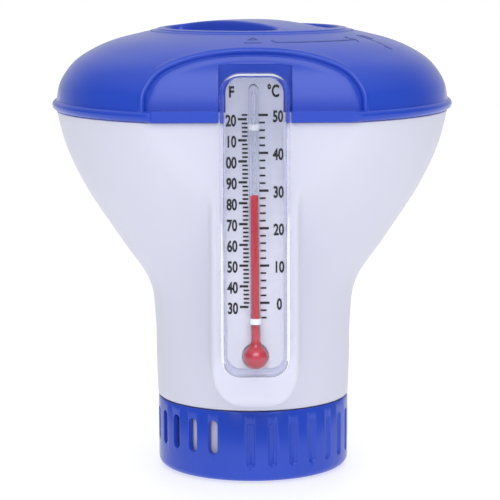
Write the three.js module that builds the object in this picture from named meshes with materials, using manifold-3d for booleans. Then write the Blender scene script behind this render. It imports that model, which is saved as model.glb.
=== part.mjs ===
// Floating pool thermometer with a tablet chamber, in millimetres.
// Frame: +Z up, origin at the centre of the flat underside of the flow cup, thermometer facing -Y.
import * as THREE from "three";
import { mergeVertices } from "three/addons/utils/BufferGeometryUtils.js";
import Module from "manifold-3d";

const wasm = await Module();
wasm.setup();

// ---------------------------------------------------------------- driving dimensions
const FAR = 130; // beyond the object in any direction, for cutting blocks
const HEIGHT = 120; // underside of the cup to the crown of the lid
const GAP = 0.3; // between pieces that touch
const WALL = 1.8; // moulded float shells
const THIN_WALL = 1.6; // tube, cup, collar
const FACETS = 40; // round the main turned shells

// Flow cup and tablet tube
const CUP = { radius: 25.6, inner: 23.9, height: 18.9, floor: 1.6, edge: 1.8 };
const TUBE = { radius: 23.6, inner: 22, bottom: 1.9, top: 103.6 };
const SLOT = { width: 2.7, low: 7.1, high: 16, pitch: 14, count: 6 };
const FLUTE = { width: 2.4, low: 4, high: 15.9, pitch: 13, count: 7, depth: 0.5, first: -2 };
const CUP_FIRST_SLOT = -95; // degrees from the front, positive to the right
const TUBE_FIRST_SLOT = -123; // two slots further round, so four of the six pass water
const SNAP = { low: 17.4, high: 18.2, reach: 0.55, clearance: 0.3 };
const LOWER_SEAL = { low: 20.6, high: 21.6, outer: 23.88, play: 0.2, groove: 0.8 };
const UPPER_SEAL = { low: 101.8, high: 103 };

// Float body
const NECK_BOTTOM = CUP.height + GAP;
const SEAM = 95.6; // top of the white body's shoulder
const BODY_OUTLINE = [
  [25.7, NECK_BOTTOM],
  [26.3, 41],
  [28.1, 51],
  [35.2, 61.7],
  [44.2, 75.6],
  [49.4, 86.6],
  [51.9, SEAM],
];
const FACE_Y = -44.5; // flat front face that carries the thermometer
const BOSS = { width: 22.5, bottom: 23.9, corner: 9, root: -15 };

// Dome cover
const SKIRT_BOTTOM = SEAM + GAP;
const BEAD = { radius: 53.1, low: SKIRT_BOTTOM, high: 98.9, chord: -45.8 };
const CREST = 117; // top of the dome, where the lid's well begins
const DOME_OUTLINE = [
  [52, 98.9],
  [50.9, 103.7],
  [47.6, 108.5],
  [43, 111.8],
  [36.5, 114.6],
  [26.8, CREST],
];
const PANEL = { y: -44, z: 98.5, topY: -38.5, topZ: 113.8, lip: 1.5, recess: 0.8, wall: 1.4 };
const CHANNEL = { left: -8.6, right: 11.1, bandRight: 9.3, back: -37.4, floor: 90 };

// Seam contour: a circle with a flat front and a notch round the channel, shrunk by an offset
const SEAM_CONTOUR = {
  radius: 50.4,
  chord: -41.8,
  notchLeft: CHANNEL.left - THIN_WALL - 0.05,
  notchRight: CHANNEL.right + THIN_WALL + 0.05,
  notchBack: CHANNEL.back + THIN_WALL,
};
const SPIGOT = { offset: 1, wall: 1.5, top: 98.9 };
const SEAM_RING = { outer: 0.15, inner: 0.85, low: 96.8, high: 98.2 };

// Lid, its collar and its quick thread
const COLLAR = { inner: 24.4, outer: 26.5, bottom: 101, top: 115.2, wide: 25, wideTop: 104.4 };
const WELL = COLLAR.outer + GAP; // radius of the round opening that the lid closes
const LID = { radius: 26.5, flangeLow: 116.1, edge: 117.2, skirt: 24.1, skirtInner: 22.6, bottom: 107.6 };
const BAR = { angle: 129, halfWidth: 8 }; // grip bar across the lid, degrees from +X
const POCKET = { floor: 111.5, flat: 16, heel: 20, side: 23, radius: 24, wall: 1.5 };
const LUG = { count: 3, first: 30, halfAngle: 7, low: 108.8, height: 1.6, reach: 25 };
const TWIST = 60; // degrees from closed to free
const LIFT = 7; // rise over the whole twist
const GROOVE_REACH = 25.3;

// Thermometer
const CENTRE_X = 0.2;
const COVER = { width: 17.2, low: 33.3, high: 108.8, corner: 5, back: -44.8, front: -52.3, wall: 1.1 };
const BOARD_MARGIN = 1.5; // cover's outside to the boards inside it
const PLATE = { back: -44.8, front: -45.6 };
const CARD = { back: -45.9, front: -46.3 };
const STEM = { y: -48, radius: 1.25, bore: 0.7, top: 106.1 };
const BULB = { z: 37.9, radius: 3.05, bore: 2.65 };
const SPIRIT = { radius: 0.62, bulb: 2.6, top: 78.7 };
const CLIP = { heights: [46.3, 94.75], height: 1.5, inner: 1.45, outer: 1.95 };

// ---------------------------------------------------------------- solids
// A closed three.js geometry as a manifold solid.
function solid(geometry) {
  const bare = geometry.clone();
  bare.deleteAttribute("normal");
  bare.deleteAttribute("uv");
  const merged = mergeVertices(bare, 1e-4);
  const index = merged.index.array;
  const kept = [];
  for (let i = 0; i < index.length; i += 3) {
    const [a, b, c] = [index[i], index[i + 1], index[i + 2]];
    if (a !== b && b !== c && c !== a) kept.push(a, b, c);
  }
  return new wasm.Manifold(
    new wasm.Mesh({
      numProp: 3,
      vertProperties: merged.attributes.position.array,
      triVerts: new Uint32Array(kept),
    }),
  );
}

// A manifold solid as a named mesh.
function piece(name, shape, material) {
  const made = shape.getMesh();
  const geometry = new THREE.BufferGeometry();
  geometry.setAttribute("position", new THREE.BufferAttribute(made.vertProperties, 3));
  geometry.setIndex(new THREE.BufferAttribute(made.triVerts, 1));
  geometry.computeVertexNormals();
  const mesh = new THREE.Mesh(geometry, material);
  mesh.name = name;
  return mesh;
}

// Turns an outline of [radius, height] pairs, listed anticlockwise, about +Z.
function turned(outline, facets = FACETS) {
  const points = outline.map(([r, z]) => new THREE.Vector2(r, z));
  return solid(new THREE.LatheGeometry(points, facets).rotateX(Math.PI / 2));
}

// A ring of rectangular section about +Z.
function ring(inner, outer, low, high, facets = FACETS) {
  const outline = [
    [inner, low],
    [outer, low],
    [outer, high],
    [inner, high],
    [inner, low],
  ];
  return turned(outline, facets);
}

function disc(radius, low, high, facets = FACETS) {
  return turned([[0, low], [radius, low], [radius, high], [0, high]], facets);
}

function box([x0, x1], [y0, y1], [z0, z1]) {
  const size = new THREE.BoxGeometry(x1 - x0, y1 - y0, z1 - z0);
  return solid(size.translate((x0 + x1) / 2, (y0 + y1) / 2, (z0 + z1) / 2));
}

// Points on an arc in the (radius, height) plane, in degrees from the outward direction.
function arc([r, z], radius, from, to, steps) {
  return Array.from({ length: steps + 1 }, (_, i) => {
    const turn = THREE.MathUtils.degToRad(from + ((to - from) * i) / steps);
    return [r + radius * Math.cos(turn), z + radius * Math.sin(turn)];
  });
}

// A smooth curve through [radius, height] points, as a finer list of pairs.
function smooth(outline, steps) {
  const curve = new THREE.SplineCurve(outline.map(([r, z]) => new THREE.Vector2(r, z)));
  return curve.getPoints(steps).map((p) => [p.x, p.y]);
}

// The same outline moved inwards along its normals by a wall's thickness.
function inset(outline, wall) {
  return outline.map(([r, z], i) => {
    const before = outline[Math.max(i - 1, 0)];
    const after = outline[Math.min(i + 1, outline.length - 1)];
    const along = new THREE.Vector2(after[0] - before[0], after[1] - before[1]).normalize();
    return [r - wall * along.y, z + wall * along.x];
  });
}

// A rectangle with round corners, as a shape.
function roundedRectangle(x0, x1, y0, y1, radius) {
  const shape = new THREE.Shape();
  shape.moveTo(x0 + radius, y0);
  shape.lineTo(x1 - radius, y0);
  shape.absarc(x1 - radius, y0 + radius, radius, -Math.PI / 2, 0, false);
  shape.lineTo(x1, y1 - radius);
  shape.absarc(x1 - radius, y1 - radius, radius, 0, Math.PI / 2, false);
  shape.lineTo(x0 + radius, y1);
  shape.absarc(x0 + radius, y1 - radius, radius, Math.PI / 2, Math.PI, false);
  shape.lineTo(x0, y0 + radius);
  shape.absarc(x0 + radius, y0 + radius, radius, Math.PI, 1.5 * Math.PI, false);
  return shape;
}

// An upright slab drawn in XZ and extruded along Y, from its back to its front.
function upright(shape, back, front, curveSegments = 5) {
  const depth = back - front;
  const extruded = new THREE.ExtrudeGeometry(shape, { depth, bevelEnabled: false, curveSegments });
  return solid(extruded.rotateX(Math.PI / 2).translate(0, back, 0));
}

// A round-ended slot standing on a cylinder, reaching from one radius to another, at an angle
// from the front that is positive to the right.
function slot(width, low, high, inner, outer, angle) {
  const half = width / 2;
  const outline = roundedRectangle(-half, half, low, high, half - 0.01);
  return upright(outline, -inner, -outer, 2).rotate([0, 0, angle]);
}

// Everything behind the plane of the leaning front panel, moved back by a distance.
function behindPanel(distance) {
  const lean = Math.atan2(PANEL.topY - PANEL.y, PANEL.topZ - PANEL.z);
  const block = new THREE.BoxGeometry(2 * FAR, 2 * FAR, 2 * FAR).translate(0, FAR + distance, 0);
  return solid(block.rotateX(-lean).translate(0, PANEL.y, PANEL.z));
}

// A bar of rectangular section that climbs round the axis: angles in degrees from +X.
function climbingBar(inner, outer, low, height, from, to, slope) {
  const steps = Math.max(3, Math.round((to - from) / 6));
  const position = [];
  const index = [];
  for (let i = 0; i <= steps; i++) {
    const degrees = from + ((to - from) * i) / steps;
    const turn = THREE.MathUtils.degToRad(degrees);
    const z = low + slope * (degrees - from);
    for (const [r, up] of [[inner, 0], [outer, 0], [outer, height], [inner, height]]) {
      position.push(r * Math.cos(turn), r * Math.sin(turn), z + up);
    }
  }
  for (let i = 0; i < steps; i++) {
    for (let k = 0; k < 4; k++) {
      const [a, b] = [4 * i + k, 4 * i + ((k + 1) % 4)];
      index.push(a, a + 4, b, b, a + 4, b + 4);
    }
  }
  const last = 4 * steps;
  index.push(0, 1, 2, 0, 2, 3, last, last + 2, last + 1, last, last + 3, last + 2);
  const geometry = new THREE.BufferGeometry();
  geometry.setAttribute("position", new THREE.Float32BufferAttribute(position, 3));
  geometry.setIndex(index);
  return solid(geometry);
}

// ---------------------------------------------------------------- float body
// The plan of the seam, shrunk inwards by an offset, as an upright prism.
function seamPrism(offset, low, high) {
  const { radius, chord, notchLeft, notchRight, notchBack } = SEAM_CONTOUR;
  const round = disc(radius - offset, low, high);
  const tall = [low - 1, high + 1];
  const front = box([-FAR, FAR], [-FAR, chord + offset], tall);
  const notch = box([notchLeft - offset, notchRight + offset], [-FAR, notchBack + offset], tall);
  return round.subtract(front).subtract(notch);
}

// The column on the front of the funnel, grown or shrunk by a margin.
function boss(margin) {
  const half = BOSS.width / 2 - margin;
  const front = FACE_Y + margin;
  const outline = roundedRectangle(-half, half, BOSS.bottom + margin, FAR, BOSS.corner - margin);
  return upright(outline, BOSS.root, front).translate([CENTRE_X, 0, 0]).intersect(disc(FAR, 0, SEAM));
}

function floatBody() {
  const wall = smooth(BODY_OUTLINE, 10);
  const behindFace = (margin) => box([-FAR, FAR], [FACE_Y + margin, FAR], [0, FAR]);
  const outside = turned([[0, NECK_BOTTOM], ...wall, [0, SEAM]]).intersect(behindFace(0));
  const innerWall = inset(wall, WALL);
  const inside = turned([[0, 10], [CUP.inner, 10], ...innerWall, [50, 100], [0, 100]]);
  const deck = SEAM - WALL;
  const hollow = inside
    .intersect(behindFace(WALL))
    .add(boss(WALL))
    .intersect(disc(FAR, 0, deck));
  const spigot = seamPrism(SPIGOT.offset, SEAM - 0.5, SPIGOT.top);
  const opening = seamPrism(SPIGOT.offset + SPIGOT.wall, deck - 0.5, SPIGOT.top + 1);
  return outside.add(boss(0)).add(spigot).subtract(hollow).subtract(opening);
}

function seamRing() {
  const { outer, inner, low, high } = SEAM_RING;
  return seamPrism(outer, low, high).subtract(seamPrism(inner, low - 1, high + 1));
}

// ---------------------------------------------------------------- dome cover
// The channel in the dome's front, widened by a wall's thickness. Through the band it is narrower.
function channel(wall) {
  const { left, right, bandRight, back, floor } = CHANNEL;
  const depth = [-FAR, back + wall];
  const throughBand = box([left - wall, bandRight + wall], depth, [floor, BEAD.high]);
  return throughBand.add(box([left - wall, right + wall], depth, [BEAD.high - wall, FAR]));
}

function domeOutside() {
  const { radius, low, high, chord } = BEAD;
  const crown = smooth(DOME_OUTLINE, 8);
  const half = (high - low) / 2;
  const rim = arc([radius - half, low + half], half, -90, 75, 6);
  const whole = turned([[0, low], ...rim, ...crown, [0, CREST]]);
  const shoulder = high + GAP;
  const band = whole.intersect(box([-FAR, FAR], [chord, FAR], [0, shoulder]));
  const above = whole.intersect(box([-FAR, FAR], [-FAR, FAR], [high, FAR])).intersect(behindPanel(0));
  const lipInside = turned([[0, high], ...inset(crown, PANEL.lip), [0, CREST - 1]]);
  const recess = lipInside.subtract(behindPanel(PANEL.recess));
  const recessAbove = recess.intersect(box([-FAR, FAR], [-FAR, 0], [shoulder, FAR]));
  const belowLip = lipInside.add(disc(FAR, CHANNEL.floor, shoulder));
  return band.add(above).subtract(recessAbove).subtract(channel(0).intersect(belowLip));
}

function domeInside() {
  const roof = COLLAR.top - WALL;
  const crown = inset(smooth(DOME_OUTLINE, 8), WALL).filter(([, z]) => z < roof - 0.2);
  const [shoulder] = crown.at(-1);
  const outline = [
    [0, CHANNEL.floor],
    [SEAM_CONTOUR.radius, CHANNEL.floor],
    [SEAM_CONTOUR.radius, BEAD.high - 0.9],
    ...crown,
    [shoulder - 0.2, roof],
    [0, roof],
  ];
  return turned(outline)
    .intersect(behindPanel(PANEL.recess + PANEL.wall))
    .intersect(box([-FAR, FAR], [SEAM_CONTOUR.chord, FAR], [0, FAR]))
    .subtract(channel(THIN_WALL));
}

function domeCover() {
  return domeOutside().subtract(domeInside()).subtract(disc(WELL, CHANNEL.floor, FAR));
}

// The ring under the lid, with three climbing grooves that take the lid's lugs.
function lidCollar() {
  const { inner, outer, bottom, top, wide, wideTop } = COLLAR;
  let collar = turned([
    [wide, bottom],
    [outer, bottom],
    [outer, top],
    [inner, top],
    [inner, wideTop],
    [wide, wideTop],
    [wide, bottom],
  ]);
  const slope = LIFT / TWIST;
  const margin = 1; // degrees past each end of a lug
  const start = LUG.halfAngle + margin;
  for (let i = 0; i < LUG.count; i++) {
    const at = LUG.first + (i * 360) / LUG.count;
    const low = LUG.low - GAP - slope * margin;
    const height = LUG.height + 2 * GAP;
    const end = at + TWIST + start;
    collar = collar.subtract(climbingBar(inner - 0.4, GROOVE_REACH, low, height, at - start, end, slope));
  }
  return collar;
}

// ---------------------------------------------------------------- lid
// Height of the lid's crowned top at a radius.
function crownHeight(radius) {
  const rise = HEIGHT - LID.edge;
  return HEIGHT - rise * (radius / LID.radius) ** 2;
}

// The two half-moon finger pockets beside the grip bar, grown by a wall's thickness.
function pockets(wall) {
  const { floor, flat, heel, side, radius } = POCKET;
  const bowl = turned([
    [0, floor - wall],
    [flat, floor - wall],
    [heel + 0.7 * wall, floor + 1 - 0.7 * wall],
    [side + wall, floor + 3.5],
    [radius + wall, HEIGHT - 1],
    [radius + wall, FAR],
    [0, FAR],
  ]);
  const half = BAR.halfWidth - wall;
  const bar = box([-FAR, FAR], [-half, half], [0, FAR]).rotate([0, 0, BAR.angle]);
  return bowl.subtract(bar);
}

function lid() {
  const radii = [24, 18, 12, 6, 0];
  const top = radii.map((r) => [r, crownHeight(r)]);
  const under = [20, 14, 8, 0].map((r) => [r, crownHeight(r) - WALL]);
  const { bottom, skirt, skirtInner, flangeLow, radius, edge } = LID;
  const outside = turned([
    [0, bottom],
    [skirt, bottom],
    [skirt, flangeLow],
    [radius, flangeLow],
    [radius, edge],
    ...top,
  ]);
  const hollow = turned([[0, bottom - 1], [skirtInner, bottom - 1], [skirtInner, COLLAR.top], ...under]);
  let made = outside.subtract(pockets(0)).subtract(hollow.subtract(pockets(POCKET.wall)));
  const slope = LIFT / TWIST;
  for (let i = 0; i < LUG.count; i++) {
    const at = LUG.first + (i * 360) / LUG.count;
    const [from, to] = [at - LUG.halfAngle, at + LUG.halfAngle];
    made = made.add(climbingBar(skirtInner + 0.8, LUG.reach, LUG.low, LUG.height, from, to, slope));
  }
  return made;
}

function lidGasket() {
  return ring(25.4, LID.radius - 0.1, COLLAR.top + 0.1, LID.flangeLow - 0.2);
}

// ---------------------------------------------------------------- tablet tube, seals, flow cup
// Two opposite rows of slots or flutes.
function opposedRows(row, first, inner, outer) {
  const cuts = [];
  for (const half of [0, 180]) {
    for (let i = 0; i < row.count; i++) {
      cuts.push(slot(row.width, row.low, row.high, inner, outer, first + half + i * row.pitch));
    }
  }
  return cuts.reduce((all, cut) => all.add(cut));
}

// A groove round the outside of the tube.
function tubeGroove(low, high, floor) {
  return ring(floor, TUBE.radius + 2, low, high);
}

function tabletTube() {
  const { low, high, reach, clearance } = SNAP;
  const snapFloor = CUP.inner - reach - clearance;
  const sealed = LOWER_SEAL;
  return ring(TUBE.inner, TUBE.radius, TUBE.bottom, TUBE.top)
    .subtract(opposedRows(SLOT, TUBE_FIRST_SLOT, TUBE.inner - 2, TUBE.radius + 2))
    .subtract(tubeGroove(low - clearance, high + clearance, snapFloor))
    .subtract(tubeGroove(sealed.low - sealed.play, sealed.high + sealed.play, TUBE.radius - sealed.groove));
}

function lowerTubeSeal() {
  return ring(TUBE.radius - 0.65, LOWER_SEAL.outer, LOWER_SEAL.low, LOWER_SEAL.high);
}

function upperTubeSeal() {
  return ring(TUBE.radius + 0.15, COLLAR.wide - 0.15, UPPER_SEAL.low, UPPER_SEAL.high);
}

function flowCup() {
  const { radius, inner, height, floor, edge } = CUP;
  const { low, high, reach } = SNAP;
  const shell = turned([
    [0, 0],
    ...arc([radius - edge, edge], edge, -90, 0, 3),
    [radius, height],
    [inner, height],
    [inner, high],
    [inner - reach, high - 0.2],
    [inner - reach, low + 0.2],
    [inner, low],
    [inner, floor],
    [0, floor],
  ]);
  return shell
    .subtract(opposedRows(SLOT, CUP_FIRST_SLOT, inner - 2, radius + 2))
    .subtract(opposedRows(FLUTE, FLUTE.first, radius - FLUTE.depth, radius + 2));
}

// ---------------------------------------------------------------- thermometer
// An upright board with the cover's outline, shrunk by a margin.
function board(margin, back, front) {
  const half = COVER.width / 2 - margin;
  const corner = COVER.corner - margin;
  const outline = roundedRectangle(-half, half, COVER.low + margin, COVER.high - margin, corner);
  return upright(outline, back, front).translate([CENTRE_X, 0, 0]);
}

function thermometerCover() {
  const hollow = board(COVER.wall, COVER.back + 1, COVER.front + COVER.wall);
  return board(0, COVER.back, COVER.front).subtract(hollow);
}

// A board with a round hole that lets the bulb sit back into it.
function boardWithBulbHole({ back, front }) {
  const hole = disc(BULB.radius + 0.35, -2, 2, 20).rotate([90, 0, 0]);
  const placed = hole.translate([CENTRE_X, (back + front) / 2, BULB.z]);
  return board(BOARD_MARGIN, back, front).subtract(placed);
}

// A round bulb that runs up into a straight stem, turned about +Z.
function bulbAndStem(bulb, stem, top, facets) {
  const end = Math.PI - Math.asin(stem / bulb);
  const outline = [];
  for (let i = 0; i <= 8; i++) {
    const turn = (end * i) / 8;
    outline.push([bulb * Math.sin(turn), BULB.z - bulb * Math.cos(turn)]);
  }
  outline.push([stem, top], [0, top]);
  return turned(outline, facets).translate([CENTRE_X, STEM.y, 0]);
}

function glassTube() {
  const outside = bulbAndStem(BULB.radius, STEM.radius, STEM.top, 20);
  return outside.subtract(bulbAndStem(BULB.bore, STEM.bore, STEM.top + 1, 16));
}

function spiritColumn() {
  return bulbAndStem(SPIRIT.bulb, SPIRIT.radius, SPIRIT.top, 16);
}

// A staple bent over the glass tube with its two legs on the card.
function tubeClip(low) {
  const { inner, outer, height } = CLIP;
  const leg = CARD.front - GAP - STEM.y;
  const shape = new THREE.Shape();
  shape.absarc(0, 0, outer, Math.PI, 2 * Math.PI, false);
  shape.lineTo(outer, leg);
  shape.lineTo(inner, leg);
  shape.absarc(0, 0, inner, 0, Math.PI, true);
  shape.lineTo(-inner, leg);
  shape.lineTo(-outer, leg);
  const extruded = new THREE.ExtrudeGeometry(shape, { depth: height, bevelEnabled: false, curveSegments: 8 });
  return solid(extruded.translate(CENTRE_X, STEM.y, low));
}

// ---------------------------------------------------------------- materials
const plastic = (color, roughness) => new THREE.MeshStandardMaterial({ color, roughness, metalness: 0 });
const bluePlastic = plastic(0x2b3fb8, 0.25);
const whitePlastic = plastic(0xe9e9f4, 0.45);
const rubber = plastic(0x2a2d33, 0.7);
const cardPaper = plastic(0xf4f5f7, 0.6);
const redSpirit = plastic(0xc32a3a, 0.2);
const clearPlastic = new THREE.MeshStandardMaterial({
  color: 0xdfe4f5,
  roughness: 0.05,
  metalness: 0,
  transparent: true,
  opacity: 0.35,
});
const glass = clearPlastic.clone();

// ---------------------------------------------------------------- assembly
const lidParts = new THREE.Group();
lidParts.add(piece("lid", lid(), bluePlastic), piece("lid_gasket", lidGasket(), rubber));

const floatParts = new THREE.Group();
floatParts.add(
  piece("dome_cover", domeCover(), bluePlastic),
  piece("lid_collar", lidCollar(), bluePlastic),
  piece("dome_seal", seamRing(), rubber),
  piece("float_body", floatBody(), whitePlastic),
);

const chamberParts = new THREE.Group();
chamberParts.add(
  piece("tablet_tube", tabletTube(), whitePlastic),
  piece("tube_seal_upper", upperTubeSeal(), rubber),
  piece("tube_seal_lower", lowerTubeSeal(), rubber),
  piece("flow_cup", flowCup(), bluePlastic),
);

const thermometerParts = new THREE.Group();
thermometerParts.add(
  piece("thermometer_cover", thermometerCover(), clearPlastic),
  piece("backing_plate", boardWithBulbHole(PLATE), whitePlastic),
  piece("scale_card", boardWithBulbHole(CARD), cardPaper),
  piece("glass_tube", glassTube(), glass),
  piece("spirit_column", spiritColumn(), redSpirit),
  piece("tube_clip_lower", tubeClip(CLIP.heights[0]), whitePlastic),
  piece("tube_clip_upper", tubeClip(CLIP.heights[1]), whitePlastic),
);

const group = new THREE.Group();
group.add(lidParts, floatParts, chamberParts, thermometerParts);
export default group;
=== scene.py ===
"""Floating pool thermometer: the moulded shells, the lid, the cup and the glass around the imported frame.

Shapes are worked out in millimetres, in the frame of the CAD model, and become metres when a piece is
finished. The origin is the centre of the cup's flat underside, +Z is up and the thermometer faces -Y.
"""

import math

import bmesh
import bpy
from mathutils import Matrix, Vector


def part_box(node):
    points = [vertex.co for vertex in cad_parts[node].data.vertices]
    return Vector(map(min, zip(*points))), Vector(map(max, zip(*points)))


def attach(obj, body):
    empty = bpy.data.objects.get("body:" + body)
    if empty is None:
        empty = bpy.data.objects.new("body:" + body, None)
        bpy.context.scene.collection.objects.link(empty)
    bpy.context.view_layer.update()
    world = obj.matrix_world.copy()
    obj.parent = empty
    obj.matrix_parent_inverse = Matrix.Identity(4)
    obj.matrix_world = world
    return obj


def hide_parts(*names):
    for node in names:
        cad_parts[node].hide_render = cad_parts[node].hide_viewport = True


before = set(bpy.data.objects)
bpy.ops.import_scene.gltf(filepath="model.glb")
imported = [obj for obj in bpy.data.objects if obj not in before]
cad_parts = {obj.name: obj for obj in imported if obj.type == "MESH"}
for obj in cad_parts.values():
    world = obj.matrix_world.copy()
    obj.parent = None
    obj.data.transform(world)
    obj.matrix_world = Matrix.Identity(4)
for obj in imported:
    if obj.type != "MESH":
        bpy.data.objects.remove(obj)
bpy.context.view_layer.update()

MM = 0.001
TAU = math.tau


# ---------------------------------------------------------------- sizes read from the frame
def size_of(node):
    """A CAD node's lowest and highest corner in millimetres."""
    low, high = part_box(node)
    return low / MM, high / MM


CUP_LOW, CUP_HIGH = size_of("flow_cup")
BODY_LOW, BODY_HIGH = size_of("float_body")
DOME_LOW, DOME_HIGH = size_of("dome_cover")
LID_LOW, LID_HIGH = size_of("lid")
TUBE_LOW, TUBE_HIGH = size_of("tablet_tube")
COVER_LOW, COVER_HIGH = size_of("thermometer_cover")
GLASS_LOW, GLASS_HIGH = size_of("glass_tube")
SPIRIT_LOW, SPIRIT_HIGH = size_of("spirit_column")
CARD_LOW, CARD_HIGH = size_of("scale_card")

CENTRE_X = (COVER_LOW.x + COVER_HIGH.x) / 2  # the thermometer and its column sit half a millimetre right

# ---------------------------------------------------------------- driving sizes, in millimetres
WALL = 1.7

CUP_RADIUS = CUP_HIGH.x
CUP_TOP = CUP_HIGH.z
SLOT = {"width": 2.7, "low": 7.1, "high": 16.2, "pitch": 14, "count": 6}
FLUTE = {"width": 2.4, "low": 4.0, "high": 15.9, "pitch": 13, "count": 7, "first": -2}
CUP_FIRST_SLOT = -95  # degrees from the front, positive to the right
TUBE_FIRST_SLOT = -123
WALL_SEAM = 166.5  # where the slotted walls are joined, clear of every slot and flute
TUBE_RADIUS = TUBE_HIGH.x

SEAM = 96.1
FACE_Y = 44.5  # how far in front of the axis the flat face stands
BODY_OUTLINE = [
    (25.7, BODY_LOW.z),
    (26.3, 41),
    (28.1, 51),
    (35.2, 61.7),
    (44.2, 75.6),
    (49.4, 86.6),
    (51.9, SEAM),
]
BOSS = {"half": 11.25, "bottom": 23.9, "corner": 9.0, "edge": 3.0, "fillet": 2.6}

DOME_OUTLINE = [
    (26.8, 117),
    (36.5, 114.6),
    (43, 111.8),
    (47.6, 108.5),
    (50.9, 103.7),
    (52, 98.9),
]
PANEL = {"y": -43.3, "z": 99.3, "top_y": -36.9, "top_z": 114.3, "swell": 1.15}
CHANNEL = {"left": -8.7, "right": 9.7, "band_right": 9.3, "back": -38.4, "soft": 1.5}
BAND = {"radius": 53.1, "low": 96.4, "high": 99.1, "chord": -45.8}
WELL = 26.8  # radius of the round opening that the lid closes
WELL_FOOT = 113.6

LID = {"radius": 26.5, "top": 119.5, "edge": 117.2, "flange": 116.1, "skirt": 24.1, "skirt_inner": 22.6}
BAR = {"angle": 128, "half": 5.6}
LUG = {"count": 3, "first": 30, "half_angle": 7, "low": 108.8, "height": 1.6, "reach": 25}
LUG_SLOPE = 7 / 60  # millimetres a degree

STEM_Y = -48.0
STEM_LEAN = {"foot": 0.1, "tip": -0.3}
BULB_Z = 37.9
ZERO_C = 51.41  # height of the 0 degree mark
PER_C = 0.9386  # millimetres a degree


# ---------------------------------------------------------------- shaping tools
def polar(radius, degrees):
    """A point at an angle from the front, positive to the right."""
    turn = math.radians(degrees)
    return radius * math.sin(turn), -radius * math.cos(turn)


def smooth_outline(points, steps):
    """A Catmull-Rom curve through a few points, with so many steps in each span."""
    ends = [points[0], *points, points[-1]]
    curve = []
    for i in range(len(points) - 1):
        p0, p1, p2, p3 = (Vector(p) for p in ends[i : i + 4])
        for k in range(steps):
            t = k / steps
            a = 2 * p1
            b = (p2 - p0) * t
            c = (2 * p0 - 5 * p1 + 4 * p2 - p3) * t * t
            d = (3 * p1 - p0 - 3 * p2 + p3) * t * t * t
            curve.append(tuple((a + b + c + d) / 2))
    curve.append(points[-1])
    return curve


def height_on(outline, radius):
    """The height of a falling outline at a radius."""
    for (r0, z0), (r1, z1) in zip(outline, outline[1:]):
        if r0 <= radius <= r1:
            return z0 + (z1 - z0) * (radius - r0) / (r1 - r0)
    return outline[-1][1]


def arc(centre, radius, start, end, steps):
    """Points on an arc in the (radius, height) plane, in degrees from the outward direction."""
    turns = [math.radians(start + (end - start) * i / steps) for i in range(steps + 1)]
    return [(centre[0] + radius * math.cos(t), centre[1] + radius * math.sin(t)) for t in turns]


def spun(outline, steps=192, closed=False):
    """A surface of revolution about +Z from (radius, height) points."""
    bm = bmesh.new()
    verts = [bm.verts.new((0, -r, z)) for r, z in outline]
    pairs = list(zip(verts, verts[1:]))
    if closed:
        pairs.append((verts[-1], verts[0]))
    edges = [bm.edges.new(pair) for pair in pairs]
    bmesh.ops.spin(
        bm, geom=verts + edges, cent=(0, 0, 0), axis=(0, 0, 1), angle=TAU, steps=steps, use_merge=True
    )
    bmesh.ops.remove_doubles(bm, verts=bm.verts, dist=0.001)
    bmesh.ops.recalc_face_normals(bm, faces=bm.faces)
    return bm


def cut(bm, point, normal, faces=None, clear=False, near=0.0005):
    """Cuts along a plane, and with clear takes away what is on the normal's side."""
    faces = list(faces if faces is not None else bm.faces)
    edges = {e for f in faces for e in f.edges}
    verts = {v for f in faces for v in f.verts}
    made = bmesh.ops.bisect_plane(
        bm,
        geom=[*verts, *edges, *faces],
        dist=near,
        plane_co=point,
        plane_no=normal,
        clear_outer=clear,
    )
    return made["geom_cut"]


def round_corners(bm, verts, radius, segments):
    bmesh.ops.bevel(
        bm,
        geom=list(verts),
        affect="VERTICES",
        offset=radius,
        segments=segments,
        profile=0.5,
        material=-1,
    )


def round_edges(bm, edges, width, segments=3):
    bmesh.ops.bevel(
        bm,
        geom=list(edges),
        affect="EDGES",
        offset=width,
        segments=segments,
        profile=0.5,
        material=-1,
        clamp_overlap=True,
    )


def step_in(bm, face, steps):
    """Insets a face again and again: each step is (how far in, how far out of the surface)."""
    for thickness, depth in steps:
        bmesh.ops.inset_individual(
            bm, faces=[face], thickness=thickness, depth=depth, use_even_offset=False
        )
    return face


def joined(meshes):
    """Several bmeshes as one."""
    whole = bmesh.new()
    for bm in meshes:
        part = bpy.data.meshes.new("part")
        bm.to_mesh(part)
        bm.free()
        whole.from_mesh(part)
        bpy.data.meshes.remove(part)
    return whole


def finished(bm, name, material, body, replaces=(), sharp=32, recalc=True, modifiers=()):
    """Turns a bmesh in millimetres into a piece in metres that rides on a body."""
    if recalc:
        bmesh.ops.recalc_face_normals(bm, faces=bm.faces)
    bmesh.ops.scale(bm, vec=(MM, MM, MM), verts=bm.verts)
    mesh = bpy.data.meshes.new(name)
    bm.to_mesh(mesh)
    bm.free()
    mesh.materials.append(material)
    mesh.shade_smooth()
    mesh.set_sharp_from_angle(angle=math.radians(sharp))
    piece = bpy.data.objects.new(name, mesh)
    bpy.context.scene.collection.objects.link(piece)
    for kind, settings in modifiers:
        modifier = piece.modifiers.new(kind.title(), kind)
        for key, value in settings.items():
            setattr(modifier, key, value)
    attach(piece, body)
    if replaces:
        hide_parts(*replaces)
    return piece


def wall_inwards(thickness):
    """Gives a skin its wall on the inside."""
    settings = {"thickness": thickness * MM, "offset": -1, "use_even_offset": False, "use_rim": True}
    return ("SOLIDIFY", settings)


def soft_edges(width, degrees=40, segments=3):
    settings = {
        "width": width * MM,
        "segments": segments,
        "limit_method": "ANGLE",
        "angle_limit": math.radians(degrees),
        "harden_normals": False,
        "use_clamp_overlap": True,
    }
    return ("BEVEL", settings)


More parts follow.
